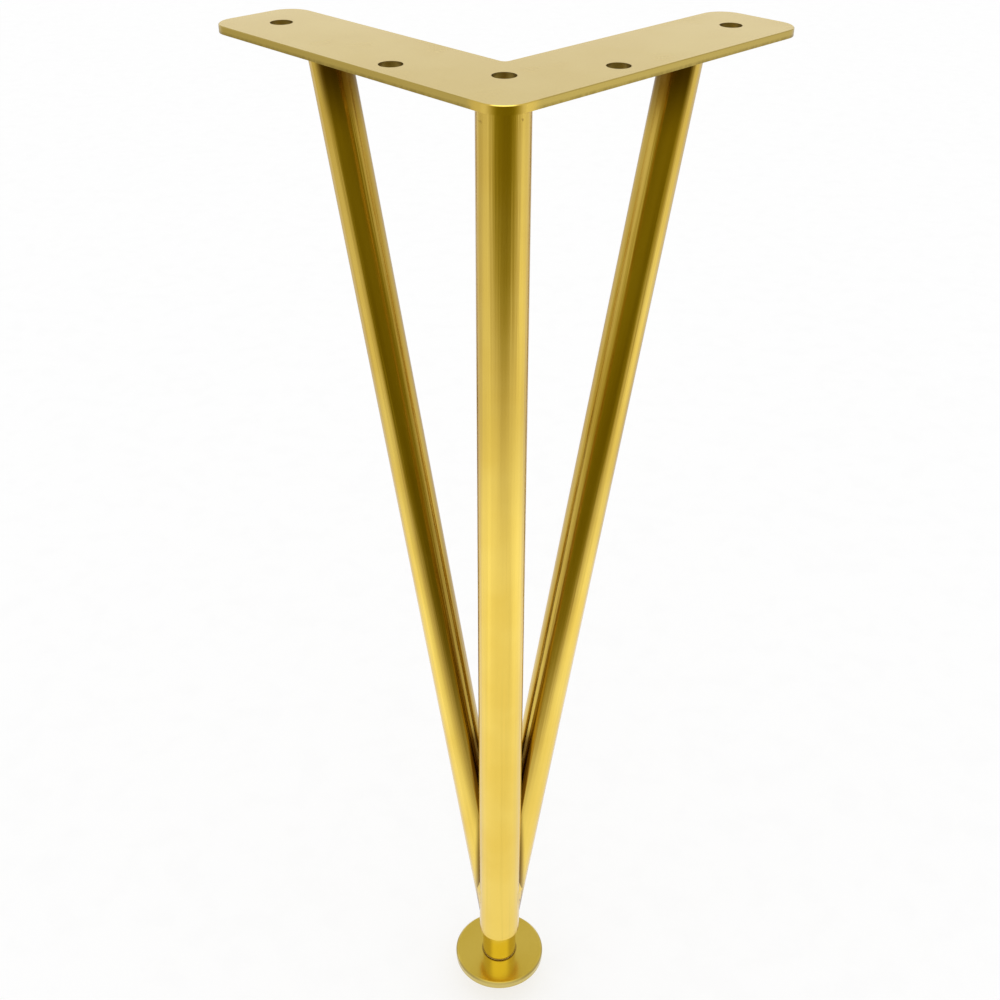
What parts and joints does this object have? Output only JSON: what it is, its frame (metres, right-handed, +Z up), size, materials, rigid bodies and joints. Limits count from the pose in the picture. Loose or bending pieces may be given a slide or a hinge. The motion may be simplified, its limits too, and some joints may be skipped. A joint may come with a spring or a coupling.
{
  "type": "tripod table leg",
  "caption": "Welded tubular table leg with an L-shaped drilled mounting plate, an upright corner tube, slanting braces and a round screw-in levelling foot.",
  "frame": {"origin": "middle of the foot's underside, on the floor", "axes": "+Z up along the corner tube, -Y towards the plate's outer corner, mirrored about X = 0"},
  "size_m": [0.2152, 0.1427, 0.4],
  "materials": {
    "satin_gold_plate": "gold plated, satin",
    "polished_gold_tube": "gold plated, polished along the tube",
    "ground_gold_weld": "ground smooth and gold plated",
    "turned_gold_foot": "turned and gold plated, satin",
    "plain_steel": "bright zinc"
  },
  "bodies": {
    "frame": {"mounting_plate": "satin_gold_plate", "corner_tube": "polished_gold_tube", "left_brace": "polished_gold_tube", "right_brace": "polished_gold_tube", "corner_weld": "ground_gold_weld", "left_brace_weld": "ground_gold_weld", "right_brace_weld": "ground_gold_weld", "left_seam_weld": "ground_gold_weld", "right_seam_weld": "ground_gold_weld", "threaded_insert": "plain_steel"},
    "foot": {"levelling_foot": "turned_gold_foot", "foot_stud": "plain_steel"}
  },
  "joints": [
    {"name": "foot_screw", "type": "slide", "parent": "frame", "child": "foot", "axis": [0, 0, -1], "range_m": [0, 0.012]}
  ]
}
